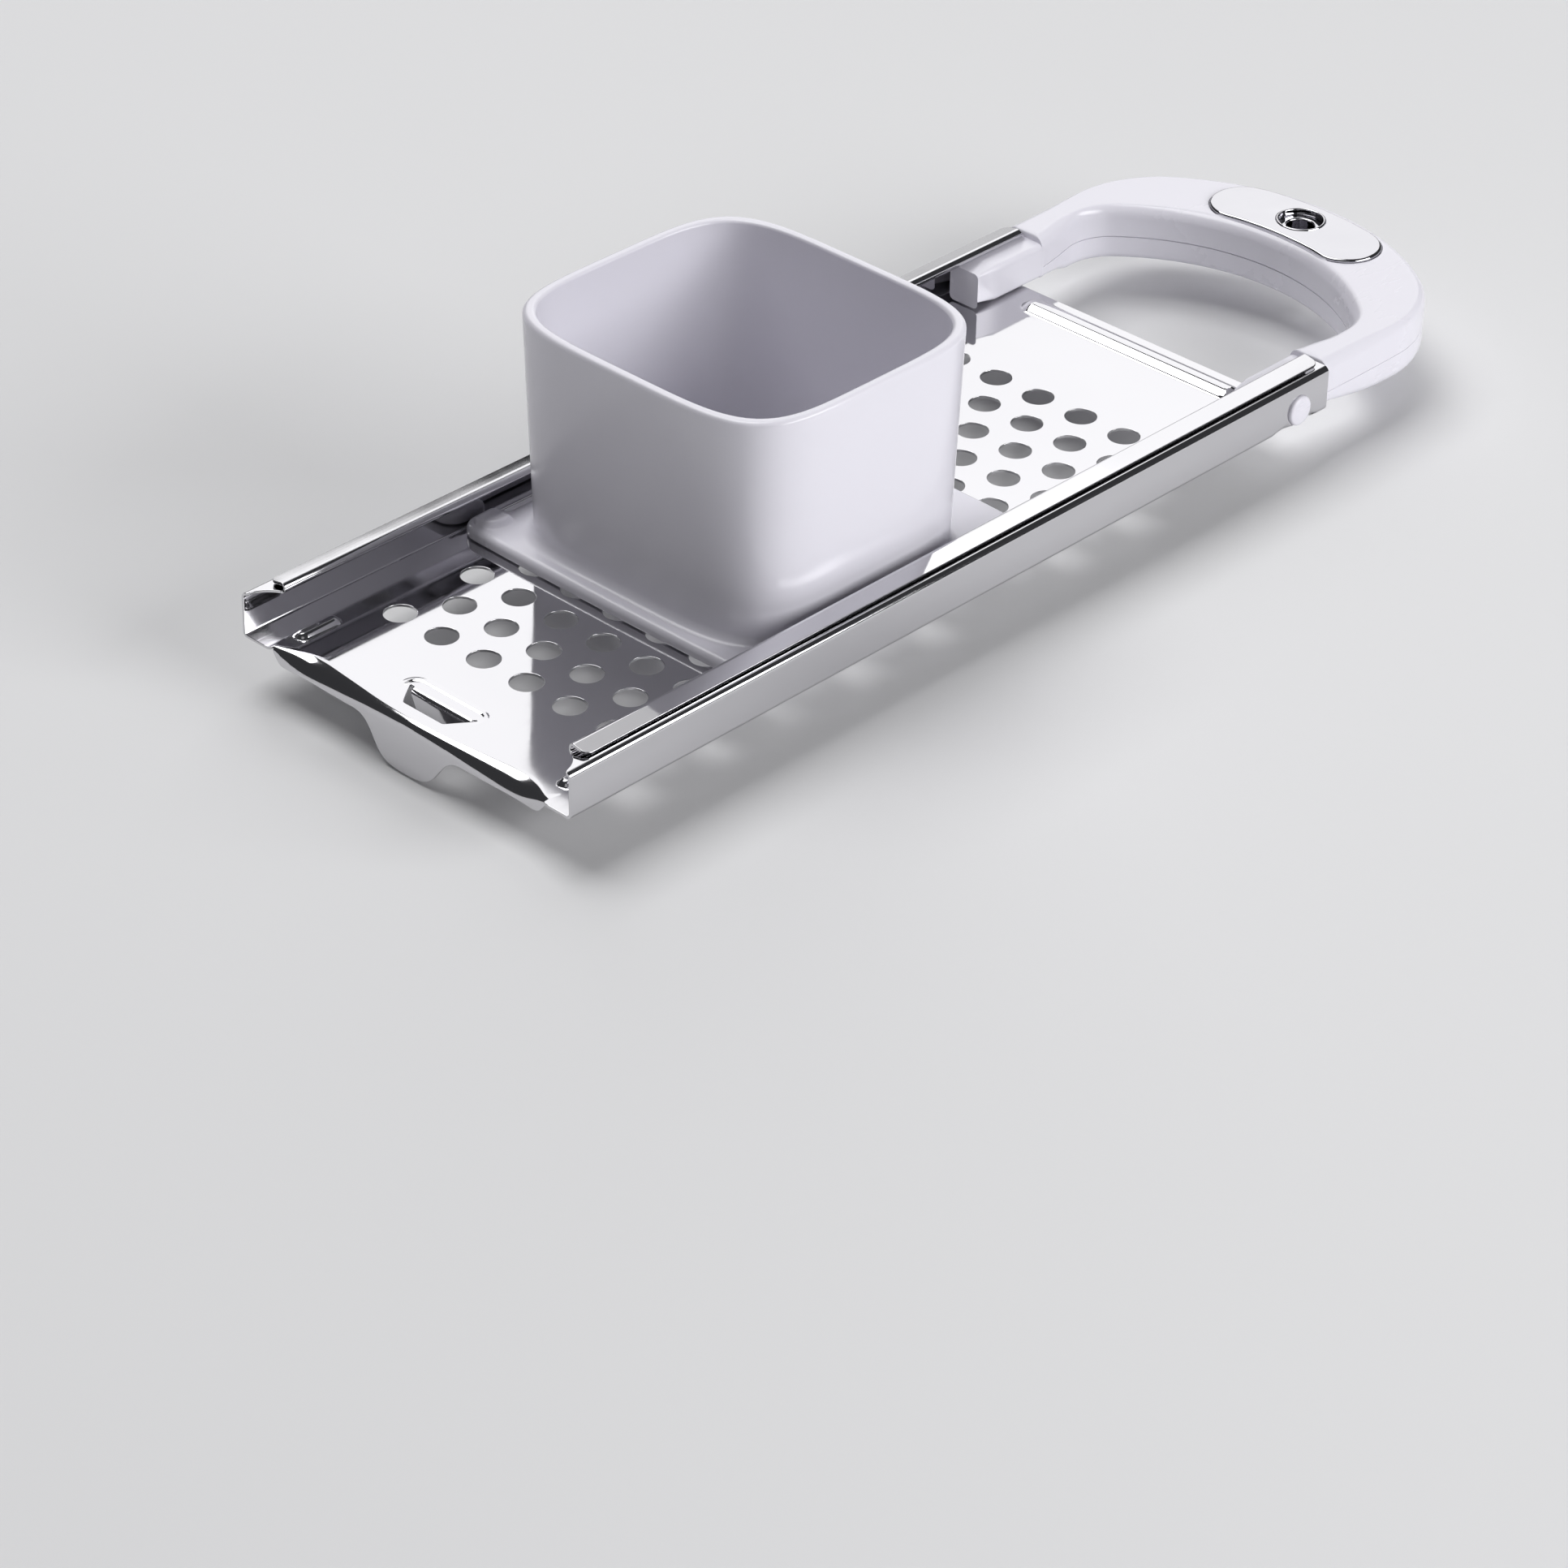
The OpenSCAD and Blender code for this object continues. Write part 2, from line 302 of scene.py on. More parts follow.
def add(nt, a, b):
    n = nt.nodes.new("ShaderNodeMath")
    n.operation = "ADD"
    nt.links.new(a, n.inputs[0])
    nt.links.new(b, n.inputs[1])
    return n.outputs[0]


def blend_colour(nt, fac, a, b):
    n = nt.nodes.new("ShaderNodeValToRGB")
    n.color_ramp.elements[0].color = (*a, 1)
    n.color_ramp.elements[1].color = (*b, 1)
    nt.links.new(fac, n.inputs["Fac"])
    return n.outputs["Color"]


def bump(nt, height, distance, strength=1.0, onto=None):
    n = nt.nodes.new("ShaderNodeBump")
    n.inputs["Distance"].default_value = distance
    n.inputs["Strength"].default_value = strength
    nt.links.new(height, n.inputs["Height"])
    if onto is not None:
        nt.links.new(onto, n.inputs["Normal"])
    return n.outputs["Normal"]


def polished_steel():
    m, nt, b = start("polished_steel")
    b.inputs["Metallic"].default_value = 1.0
    fine = noise(nt, coord(nt, (22, 900, 900)), 1.0, 5, 0.6)
    smudge = noise(nt, coord(nt), 26, 5, 0.62, 0.6)
    tint = noise(nt, coord(nt), 12, 3, 0.5)
    nt.links.new(blend_colour(nt, tint, (0.60, 0.595, 0.615), (0.66, 0.655, 0.675)), b.inputs["Base Color"])
    nt.links.new(add(nt, remap(nt, smudge, 0.028, 0.085, 0.35, 0.75), remap(nt, fine, 0.0, 0.03, 0.3, 0.8)), b.inputs["Roughness"])
    wave = bump(nt, noise(nt, coord(nt), 34, 2, 0.4), 0.00006)
    nt.links.new(bump(nt, fine, 0.0000012, onto=wave), b.inputs["Normal"])
    return m


def white_plastic(name, a, b_, coat=0.25):
    m, nt, b = start(name)
    b.inputs["Coat Weight"].default_value = coat
    b.inputs["Coat Roughness"].default_value = 0.12
    b.inputs["IOR"].default_value = 1.5
    cloud = noise(nt, coord(nt), 14, 2, 0.45, 0.3)
    grain = noise(nt, coord(nt), 900, 2, 0.5)
    scuff = noise(nt, coord(nt, (60, 260, 240)), 1.0, 4, 0.55)
    nt.links.new(blend_colour(nt, cloud, a, b_), b.inputs["Base Color"])
    nt.links.new(add(nt, remap(nt, cloud, 0.25, 0.28, 0.2, 0.8), remap(nt, scuff, 0.0, 0.008, 0.2, 0.9)), b.inputs["Roughness"])
    soft = bump(nt, noise(nt, coord(nt), 30, 1, 0.3), 0.00003)
    nt.links.new(bump(nt, grain, 0.0000006, onto=soft), b.inputs["Normal"])
    return m


def chrome():
    m, nt, b = start("chrome_trim")
    b.inputs["Metallic"].default_value = 1.0
    smudge = noise(nt, coord(nt), 90, 5, 0.6, 0.5)
    tint = noise(nt, coord(nt), 30, 3, 0.5)
    nt.links.new(blend_colour(nt, tint, (0.52, 0.515, 0.545), (0.59, 0.585, 0.61)), b.inputs["Base Color"])
    nt.links.new(remap(nt, smudge, 0.03, 0.10, 0.35, 0.75), b.inputs["Roughness"])
    wave = bump(nt, noise(nt, coord(nt), 62, 2, 0.45), 0.0006)
    nt.links.new(bump(nt, noise(nt, coord(nt), 1500, 2, 0.5), 0.0000008, onto=wave), b.inputs["Normal"])
    return m


STEEL = polished_steel()
CHROME = chrome()
CUP = white_plastic("white_plastic_cup", (0.81, 0.795, 0.87), (0.83, 0.815, 0.885))
SHELL = white_plastic("white_plastic_handle", (0.80, 0.785, 0.86), (0.82, 0.805, 0.875))

# ---------- grater plate: one bent sheet ----------
# Side profile beyond |y| = 51 as lines and arcs in [y, z]
SIDE = [("line", (51.0, -0.35), (52.5, -0.35)), ("arc", (52.5, 0.5), 0.85, -90, 0),
        ("line", (53.35, 0.5), (53.35, 9.65)), ("arc", (52.05, 9.65), 1.3, 0, 90),
        ("line", (52.05, 10.95), (47.5, 10.95)), ("arc", (47.5, 11.9), 0.95, -90, -281.4),
        ("line", (47.688, 12.831), (51.35, 12.092))]


def seg_len(s):
    if s[0] == "line":
        return math.dist(s[1], s[2])
    return s[2] * math.radians(abs(s[4] - s[3]))


SIDE_LEN = [seg_len(s) for s in SIDE]
SIDE_AT = [sum(SIDE_LEN[:i]) for i in range(len(SIDE) + 1)]
V0 = 51.0
V_END = V0 + SIDE_AT[-1]


def side(u):
    for s, at, ln in zip(SIDE, SIDE_AT, SIDE_LEN):
        if u <= at + ln + 1e-9 or s is SIDE[-1]:
            t = (u - at) / ln
            if s[0] == "line":
                return lerp(s[1][0], s[2][0], t), lerp(s[1][1], s[2][1], t)
            a = math.radians(lerp(s[3], s[4], t))
            return s[1][0] + s[2] * math.cos(a), s[1][1] + s[2] * math.sin(a)


BEND_Y = [0, 7, 13, 20, 26, 31, 35, 38, 41, 43.5, 46]
BEND_X = [-119.3, -119.0, -118.5, -117.6, -116.9, -116.3, -116.3, -116.9, -118.3, -119.9, -120.3]
LIP_X = -121.0
BEND_ANG = math.radians(86)


# smooth the bend line a little
BEND_Y2 = np.linspace(0, 46, 93)
BEND_X2 = np.interp(BEND_Y2, BEND_Y, BEND_X)
for _ in range(12):
    p_ = np.concatenate([[BEND_X2[1]], BEND_X2, [BEND_X2[-1]]])
    BEND_X2 = (p_[:-2] + 2 * p_[1:-1] + p_[2:]) / 4


def bend_x(y):
    return float(np.interp(abs(y), BEND_Y2, BEND_X2))


def bend_r(y):
    return max(0.9, (bend_x(y) - LIP_X) / math.sin(BEND_ANG))


def lip_s(y, z):
    """Length along the lip from the bend line down to level z."""
    r = bend_r(y)
    drop = -z - RIM
    if drop < r * (1 - math.cos(BEND_ANG)):
        return r * math.acos(max(-1.0, 1 - drop / r))
    return r * BEND_ANG + (drop - r * (1 - math.cos(BEND_ANG))) / math.sin(BEND_ANG)


def soft_pos(f, k):
    return 0.5 * (f + math.sqrt(f * f + k * k))


FLAP_X, FLAP_Y, CREASE = -109.8, 9.25, 3.2


def relief(x, y):
    """Height of pressed features over the flat floor."""
    h = 0.0
    if x > 118:
        d = seg_dist(x, y, 125.8, -31.6, 125.8, 31.6)
        if d < 7:
            f = 1.8 - 4.3 + math.sqrt(max(4.3 ** 2 - d * d, 0))
            h += soft_pos(f, 0.4) * smooth01((7 - d) / 1.8)
    if x < -100 and 39 < abs(y) < 47:
        d = seg_dist(x, abs(y), -113.4, 43.2, -104.6, 43.2)
        h += 1.35 * smooth01((2.15 - d) / 1.55)
    if x < -103 and abs(y) < 17:
        d = seg_dist(x, y, FLAP_X, -FLAP_Y, FLAP_X, FLAP_Y)
        h -= 0.09 * soft_pos(CREASE - d, 0.25) * smooth01((5.5 - d) / 1.5) * smooth01((x + 114) / 3)
        h += 0.16 * math.exp(-((d - CREASE) / 0.62) ** 2) * smooth01((x + 112.5) / 2.5) * (0.3 + 0.7 * smooth01((y + 13.2) / 4))
    return h


def plate_point(x, v):
    a, s = abs(v), (1 if v >= 0 else -1)
    if a > V0:
        y, z = side(a - V0)
        return (x, s * y, z)
    xb = bend_x(a)
    if a < 44.8 and x < xb:
        r, ln = bend_r(a), xb - x
        if ln < r * BEND_ANG:
            th = ln / r
            return (xb - r * math.sin(th), v, -RIM - r * (1 - math.cos(th)) + relief(x, v))
        ln -= r * BEND_ANG
        return (xb - r * math.sin(BEND_ANG) - ln * math.cos(BEND_ANG), v, -RIM - r * (1 - math.cos(BEND_ANG)) - ln * math.sin(BEND_ANG))
    return (x, v, -RIM + relief(x, v))


def plate_normal(x, v):
    e = 0.03
    du = np.subtract(plate_point(x + e, v), plate_point(x - e, v))
    dv = np.subtract(plate_point(x, v + e), plate_point(x, v - e))
    n = np.cross(du, dv)
    return n / np.linalg.norm(n)


def catmull(pts, k):
    out = []
    n = len(pts)
    for i in range(n - 1):
        p0, p1, p2, p3 = (np.array(pts[max(i - 1, 0)]), np.array(pts[i]), np.array(pts[i + 1]), np.array(pts[min(i + 2, n - 1)]))
        for j in range(k):
            t = j / k
            out.append(tuple(0.5 * ((2 * p1) + (p2 - p0) * t + (2 * p0 - 5 * p1 + 4 * p2 - p3) * t * t + (3 * p1 - p0 - 3 * p2 + p3) * t ** 3)))
    out.append(tuple(pts[-1]))
    return out


def rows():
    """Levels v where the side profile starts or ends a bend, and the steps inside each bend."""
    out = [V0]
    for s, at, ln in zip(SIDE, SIDE_AT, SIDE_LEN):
        k = 1 if s[0] == "line" else (6 if s[2] < 0.9 else (8 if s[3] == 0 else 16))
        out += [V0 + at + ln * j / k for j in range(1, k + 1)]
    return out


ROWS = rows()
V_WALL = V0 + SIDE_AT[2]
V_HEM = V0 + SIDE_AT[5]


def rear_edge(v):
    if v <= 52.45:
        return 132.25
    if v < 53.6:
        return 132.25 + 5.2 * smooth01((v - 52.45) / 1.15)
    if v > V_END - 1.6:
        k = v - (V_END - 1.6)
        return 135.6 - (1.6 - math.sqrt(max(1.6 ** 2 - k * k, 0)))
    if v > V_HEM:
        return lerp(137.45, 135.6, smooth01((v - V_HEM) / 2.4))
    return 137.45


def front_edge(v):
    y, z = side(v - V0)
    if v >= V_HEM:
        x = lerp(-115.7, -115.15, smooth01((v - V_HEM) / 1.5))
        if v > V_END - 1.6:
            k = v - (V_END - 1.6)
            x += 1.6 - math.sqrt(max(1.6 ** 2 - k * k, 0))
        return x
    if z > 9.65:
        return max(-121.95, -123.5 + math.sqrt(max(8.85 ** 2 - (y - 43.5) ** 2, 0)))
    return -121.95


def build_plate():
    hi_rows = sorted(set(ROWS + [52.6, 52.75, 52.9, 53.05, 53.2, 53.35, 53.5, 53.65] + list(np.linspace(V_END - 1.6, V_END, 8)) + list(np.linspace(ROWS[-2] - 21.2, ROWS[-2], 1))))
    hi_rows = [v for v in hi_rows if V0 <= v <= V_END]
    flange = [v for v in np.linspace(V0 + SIDE_AT[4], V_HEM, 14)]
    hi_rows = sorted(set(round(v, 6) for v in hi_rows + flange))
    right = [(rear_edge(v), v) for v in hi_rows]
    left = [(front_edge(v), v) for v in hi_rows]
    xs_top = list(np.linspace(right[-1][0], left[-1][0], 40))[1:-1]
    outline = []
    floor_rear = [(132.25, y) for y in np.linspace(-51, 51, 35)][1:-1]
    outline += [(x, -v) for x, v in reversed(right)]
    outline += floor_rear
    outline += right
    outline += [(x, hi_rows[-1]) for x in xs_top]
    outline += list(reversed(left))
    # front edge, slit beside the lip, then the lip's lower edge with its tongue
    ear = [(-121.95, y) for y in (49.5, 48, 46.6)] + [(-121.9, 45.5), (-121.65, 45.15), (-121.0, 45.12), (-120.5, 45.1), (-120.2, 44.98), (-120.1, 44.8), (-120.2, 44.62)]
    tongue = catmull([(44.42, -0.6), (44.3, -1.2), (43.4, -2.4), (42.4, -3.4), (41.2, -3.84), (38, -3.85), (30, -3.85), (20, -3.85), (17.0, -3.87), (15.1, -4.22), (13.2, -5.3),
                      (11.75, -6.75), (10.65, -8.2), (9.6, -9.7), (8.35, -11.1), (6.65, -12.3), (4.5, -13.0), (2.25, -13.22), (0, -13.25)], 4)
    half = [(bend_x(y) - lip_s(y, z), y) for y, z in tongue]
    front = ear + half + [(x, -y) for x, y in reversed(half[:-1])] + [(x, -y) for x, y in reversed(ear)]
    outline += front
    outline += [(x, -v) for x, v in left]
    outline += [(x, -hi_rows[-1]) for x in reversed(xs_top)]
    clean = []
    for p in outline:
        if not clean or math.dist(p, clean[-1]) > 1e-4:
            clean.append(p)
    if math.dist(clean[0], clean[-1]) < 1e-4:
        clean.pop()
    outline = clean

    rings = [outline]
    centres = []
    for i in range(16):
        n = 6 - i % 2
        for k in range(n):
            centres.append(((i - 7.5) * 14 * math.sqrt(3) / 2, (k - (n - 1) / 2) * 14))
    for cx, cy in centres:
        rings.append([(cx + 4.35 * math.cos(2 * math.pi * j / 48), cy + 4.35 * math.sin(2 * math.pi * j / 48)) for j in range(48)])
    flap_y = list(np.linspace(-FLAP_Y, FLAP_Y, 25))
    corner = [(-109.62, 9.5), (-109.4, 9.85), (-109.3, 10.3), (-109.33, 10.8), (-109.6, 11.15), (-110.1, 11.2)]
    sides_ = corner + [(-112, 9.95), (-114, 8.55), (-115.6, 7.4), (-116.25, 6.85), (-116.52, 6.3), (-116.55, 5.6)]
    opening = [(FLAP_X, y) for y in flap_y] + sides_ + [(-116.55, y) for y in (3, 0, -3)] + [(x, -y) for x, y in reversed(sides_)]
    rings.append(opening)
    stud_rings = []
    for s in (1, -1):
        ring = []
        for j in range(48):
            f = 2 * math.pi * j / 48
            x, z = 126.7 + 4.22 * math.cos(f), 3.5 + 4.22 * math.sin(f)
            z = max(z, -0.12)
            v = 52.5 + 0.85 * math.acos(min(1, (0.5 - z) / 0.85)) if z < 0.5 else 52.5 + 0.85 * math.pi / 2 + (z - 0.5)
            ring.append((x, s * v))
        stud_rings.append(ring)
        rings.append(ring)

    pts, links = [], []
    stations = list(np.linspace(-112.5, 134.0, 30))
    for s in (1, -1):
        for v in ROWS[:-1]:
            xl, xr = front_edge(v), rear_edge(v)
            xs = [x for x in stations if xl + 1.2 < x < xr - 1.2]
            prev = None
            row = [xl] + xs + [xr]
            for x in row:
                k = len(pts)
                skip = 52.0 < v < 62.5 and abs(x - 126.7) < 5.2
                if not skip:
                    pts.append((x, s * v))
                if prev is not None and not skip:
                    links.append((prev, k))
                prev = None if skip else k

    def clear_of(px, py, gap):
        return all(math.hypot(px - cx, py - cy) > 4.35 + gap for cx, cy in centres if abs(px - cx) < 6) and (
            px > -105 or (not in_poly(px, py, opening) and poly_dist(px, py, opening) > gap))

    for y in np.arange(-37.5, 37.6, 0.6):
        for x in np.arange(119.2, 131.6, 0.42):
            pts.append((x, y + 0.011))
    for s in (1, -1):
        for y in np.arange(40.7, 46.0, 0.33):
            for x in np.arange(-117.0, -101.0, 0.42):
                pts.append((x, s * y + 0.013))
    for y in np.arange(-14.7, 14.8, 0.36):
        for x in np.arange(-113, -104.0, 0.34):
            if clear_of(x, y, 0.3):
                pts.append((x + 0.017, y + 0.007))
    lip_outline = front
    for y in np.arange(-43.5, 43.6, 1.0):
        xb, r = bend_x(y), bend_r(y)
        ss = [-1.0, -0.4] + [r * BEND_ANG * j / 9 for j in range(10)]
        ss += [r * BEND_ANG + q for q in np.arange(0.8, 12, 1.3)]
        for q in ss:
            x = xb - q
            if q > 0.6 and abs(y) < 45:
                if not in_poly(x, y, [(-100, -60), (-100, 60)] + lip_outline) or poly_dist(x, y, lip_outline) < 0.35:
                    continue
            if abs(y) < 8 and x < -115.5 and poly_dist(x, y, opening) < 0.35:
                continue
            if x > -117.2 and 40 < abs(y) < 46.5:
                continue
            pts.append((x, y + 0.009))

    cen = np.array(centres)

    def hole_test(x, y):
        if abs(y) < 45 and np.min((cen[:, 0] - x) ** 2 + (cen[:, 1] - y) ** 2) < 4.33 ** 2:
            return True
        if x < -104 and in_poly(x, y, opening):
            return True
        if x > 120 and abs(y) > 51:
            return any(in_poly(x, y, r) for r in stud_rings)
        return False

    v2, faces, back = triangulate(rings, pts, links, holes=[hole_test])
    faces = [f for f in faces if in_poly(sum(v2[i][0] for i in f) / len(f), sum(v2[i][1] for i in f) / len(f), outline)]
    pos = [plate_point(*p) for p in v2]
    nor = [plate_normal(*p) for p in v2]

    # hook flap, bent down from the rear edge of its opening
    first = 0
    for r in rings[: 1 + len(centres)]:
        first += len(r)
    prev = [back[first + i] for i in range(len(flap_y))]
    z0 = pos[prev[12]][2]
    a0 = math.atan2(plate_normal(FLAP_X + 0.1, 0)[0], plate_normal(FLAP_X + 0.1, 0)[2]) * -1
    a0 = abs(a0)
    r, a1 = 1.1, math.radians(87)
    for k in range(1, 19):
        if k <= 8:
            a = lerp(a0, a1, k / 8)
            x = FLAP_X - r * (math.sin(a) - math.sin(a0))
            z = z0 - r * (math.cos(a0) - math.cos(a))
            xe, ze = x, z
        else:
            a = a1
            ln = (k - 8) / 10 * (ze_end(ze))
            x, z = xe - ln * math.cos(a1), ze - ln * math.sin(a1)
        depth = -z
        w = interp(depth, [0, 1.2, 6.2, 6.8, 7.05], [FLAP_Y, FLAP_Y, 6.5, 5.95, 5.2])
        cur = []
        for y in flap_y:
            cur.append(len(pos))
            pos.append((x, y / FLAP_Y * w, z if k > 1 else z))
            nor.append(np.array((-math.sin(a), 0, math.cos(a))))
        for i in range(len(flap_y) - 1):
            faces.append((prev[i], prev[i + 1], cur[i + 1], cur[i]))
        prev = cur
    return thicken(pos, nor, faces)


def ze_end(z):
    return (z + 7.05) / math.sin(math.radians(87))


def thicken(pos, nor, faces):
    """Sheet of thickness T with half-round edges from its middle surface."""
    used = sorted({i for f in faces for i in f})
    new = {o: k for k, o in enumerate(used)}
    P = np.array([pos[i] for i in used], float)
    N = np.array([nor[i] for i in used], float)
    F = [tuple(new[i] for i in f) for f in faces]
    n = len(P)
    V = [tuple(p) for p in P + N * RIM] + [tuple(p) for p in P - N * RIM]
    nn = [tuple(q) for q in N] + [tuple(q) for q in -N]
    out = list(F) + [tuple(n + i for i in reversed(f)) for f in F]
    directed = {}
    for f in F:
        for i in range(len(f)):
            directed[(f[i], f[(i + 1) % len(f)])] = True
    nxt, prv = {}, {}
    for a, b in directed:
        if (b, a) not in directed:
            nxt[a] = b
            prv[b] = a
    outw = {}
    for a in nxt:
        acc = np.zeros(3)
        o1 = np.cross(P[nxt[a]] - P[a], N[a])
        o1 /= max(np.linalg.norm(o1), 1e-12)
        o2 = np.cross(P[a] - P[prv[a]], N[a]) if a in prv else o1
        o2 = o2 / max(np.linalg.norm(o2), 1e-12)
        acc = o1 + o2
        acc /= max(np.linalg.norm(acc), 1e-12)
        outw[a] = acc
    c = 0.13
    edge = [(RIM - c, RIM, 90), (RIM - c * 0.5, RIM - c * 0.134, 60), (RIM - c * 0.134, RIM - c * 0.5, 30), (RIM, RIM - c, 0)]
    edge += [(o, -h, -g) for o, h, g in reversed(edge)]
    levels = len(edge) + 1
    ring = {}
    for a in outw:
        ids = [a]
        for o, h, g in edge:
            ids.append(len(V))
            V.append(tuple(P[a] + outw[a] * o + N[a] * h))
            nn.append(tuple(outw[a] * math.cos(math.radians(g)) + N[a] * math.sin(math.radians(g))))
        ids.append(n + a)
        ring[a] = ids
    for a, b in nxt.items():
        if b not in ring:
            continue
        for k in range(levels):
            out.append((ring[b][k], ring[a][k], ring[a][k + 1], ring[b][k + 1]))
    return V, nn, out


V, NN, F = build_plate()
plate = new_object("plate_sheet", V, F, STEEL, NN)
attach(plate, "frame")
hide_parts("grater_plate")

# ---------- hopper ----------
HX = -14.5


def superellipse(a, b, n, count, power=4.6):
    t = np.linspace(0, 2 * math.pi, 4001)
    c, s = np.cos(t), np.sin(t)
    x = a * np.sign(c) * np.abs(c) ** (2 / power)
    y = b * np.sign(s) * np.abs(s) ** (2 / power)
    ln = np.concatenate([[0], np.cumsum(np.hypot(np.diff(x), np.diff(y)))])
    q = np.linspace(0, ln[-1], count + 1)[:-1]
    return list(zip(np.interp(q, ln, x), np.interp(q, ln, y)))


def build_hopper():
    B = Build()
    count = 224

    def cup_ring(off, z):
        k = (62 - z) / 62 * 1.8
        return B.ring([(HX + x, y, z) for x, y in superellipse(39.9 - k + off, 43.6 - k + off, 0, count)])

    prof = []
    for j in range(0, 9):                       # fillet onto the flange
        a = math.radians(90 - 90 * j / 8)
        prof.append((2.6 - 2.6 * math.cos(a), 3.6 + 2.6 - 2.6 * math.sin(a)))
    prof += [(0, z) for z in (7.0, 12, 20, 30, 40, 50, 57, 60.2)]
    for j in range(0, 7):                       # outer rim edge
        a = math.radians(90 * j / 6)
        prof.append((-1.15 + 1.15 * math.cos(a), 60.85 + 1.15 * math.sin(a)))
    for j in range(0, 7):                       # inner rim edge
        a = math.radians(90 + 90 * j / 6)
        prof.append((-1.75 + 0.85 * math.cos(a), 61.15 + 0.85 * math.sin(a)))
    prof += [(-2.6, z) for z in (60.4, 57, 50, 40, 30, 20, 10, 4, 1.2)]
    prof += [(-2.55, 0.7), (-2.35, 0.4), (-2.1, 0.3)]
    rings = [cup_ring(o, z) for o, z in prof]
    for a, b in zip(rings, rings[1:]):
        B.bridge(a, b)

    half = [(-43.2, 0, 0), (-43.0, 28, 30), (-42.5, 51.7, 5.0), (-31.0, 52.0, 2.3), (-30.2, 47.6, 1.4), (36.3, 47.6, 1.4), (37.1, 52.0, 2.3), (52.5, 52.0, 4.0), (53.4, 28, 30), (53.6, 0, 0)]
    # counter-clockwise: rear, up the +y side, front, down the -y side
    pts = [(53.6, 0, 0)] + [p for p in reversed(half[1:-1])] + [(-43.2, 0, 0)] + [(x, -y, r) for x, y, r in half[1:-1]]
    outline = densify(round_corners(pts, 8), 2.0)
    levels = [(0.55, 0.3), (0.2, 0.42), (0.0, 0.8), (0.0, 1.9), (0.08, 2.4), (0.3, 2.85), (0.65, 3.2), (1.1, 3.46), (1.65, 3.6)]
    fl = [B.ring([(HX + x, y, z) for x, y in (inset(outline, d) if d else outline)]) for d, z in levels]
    for a, b in zip(fl, fl[1:]):
        B.bridge(a, b)

    pads = []
    for s in (1, -1):
        p = catmull([(-33.0, 50.2), (-37, 50.25), (-40.6, 50.0), (-41.3, 48.6), (-41.2, 46), (-40.3, 43.6), (-38.2, 42.2), (-35.8, 41.7), (-33.2, 42.0), (-31.9, 43.6), (-32.2, 46.5), (-32.1, 48.8), (-33.0, 50.2)], 3)[:-1]
        pads.append([(HX + x, s * y) for x, y in p])

    def pad_h(x, y):
        if x > HX - 30 or abs(y) < 39.5:
            return 0.0
        poly = pads[0] if y > 0 else pads[1]
        if not in_poly(x, y, poly):
            return 0.0
        return 1.5 * smooth01(poly_dist(x, y, poly) / 1.9)

    top_line = [(B.v[i][0], B.v[i][1]) for i in fl[-1]]
    skirt = [(B.v[i][0], B.v[i][1]) for i in rings[0]]
    grid = []
    for s in (1, -1):
        for x in np.arange(HX - 41.6, HX - 30.6, 0.4):
            for y in np.arange(40.0, 50.6, 0.4):
                if in_poly(x, s * y, top_line) and poly_dist(x, s * y, top_line) > 0.2 and not in_poly(x, s * y, skirt) and poly_dist(x, s * y, skirt) > 0.2:
                    grid.append((x + 0.003, s * y + 0.002))
    B.cap([fl[-1], rings[0]], 3.6, holes=[lambda x, y: in_poly(x, y, skirt) or not in_poly(x, y, top_line)], points=grid, height=pad_h)
    low = [(B.v[i][0], B.v[i][1]) for i in rings[-1]]
    base = [(B.v[i][0], B.v[i][1]) for i in fl[0]]
    B.cap([fl[0], rings[-1]], 0.3, up=False, holes=[lambda x, y: in_poly(x, y, low) or not in_poly(x, y, base)])
    return B


B = build_hopper()
hopper = new_object("hopper_body", B.v, B.f, CUP)
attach(hopper, "hopper")
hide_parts("hopper")

# ---------- handle ----------
TOP, BOT, SEAM = 12.0, -3.0, 3.4
EYE = 192.8


def loop_stations():
    """Matching points on the outer and the inner contour, from the +y end round to the -y end."""
    o, i = [], []
    n1, n2, n3 = 8, 26, 26
    for k in range(n1):
        t = k / n1
        o.append((lerp(138.2, 150, t), lerp(52.7, 53.0, t)))
        i.append((lerp(138.2, 152.37, t), lerp(40.85, 43.79, t ** 1.4)))
    for k in range(n2):
        t = k / n2
        a, b = math.radians(lerp(90, 37.1, t)), math.radians(lerp(100, 43, t))
        o.append((166 + 33 * math.cos(a), 20 + 33 * math.sin(a)))
        i.append((154.8 + 14 * math.cos(b), 30 + 14 * math.sin(b)))
    for k in range(n3 + 1):
        t = k / n3
        a, b = math.radians(lerp(37.1, 0, t)), math.radians(lerp(43, 0, t))
        o.append((139.6 + 66 * math.cos(a), 66 * math.sin(a)))
        i.append((122.6 + 58 * math.cos(b), 58 * math.sin(b)))
    full_o = o + [(x, -y) for x, y in reversed(o[:-1])]
    full_i = i + [(x, -y) for x, y in reversed(i[:-1])]
    return smooth_line(full_o), smooth_line(full_i)


def smooth_line(p, times=6):
    p = np.array(p, float)
    for _ in range(times):
        q = p.copy()
        q[1:-1] = (p[:-2] + 2 * p[1:-1] + p[2:]) / 4
        p = q
    return [tuple(x) for x in p]


OUT, INN = loop_stations()


def under(x):
    """Level of the handle's underside, which rises towards the plate."""
    return BOT + 3.3 * (1 - smooth01((x - 137.5) / 19))


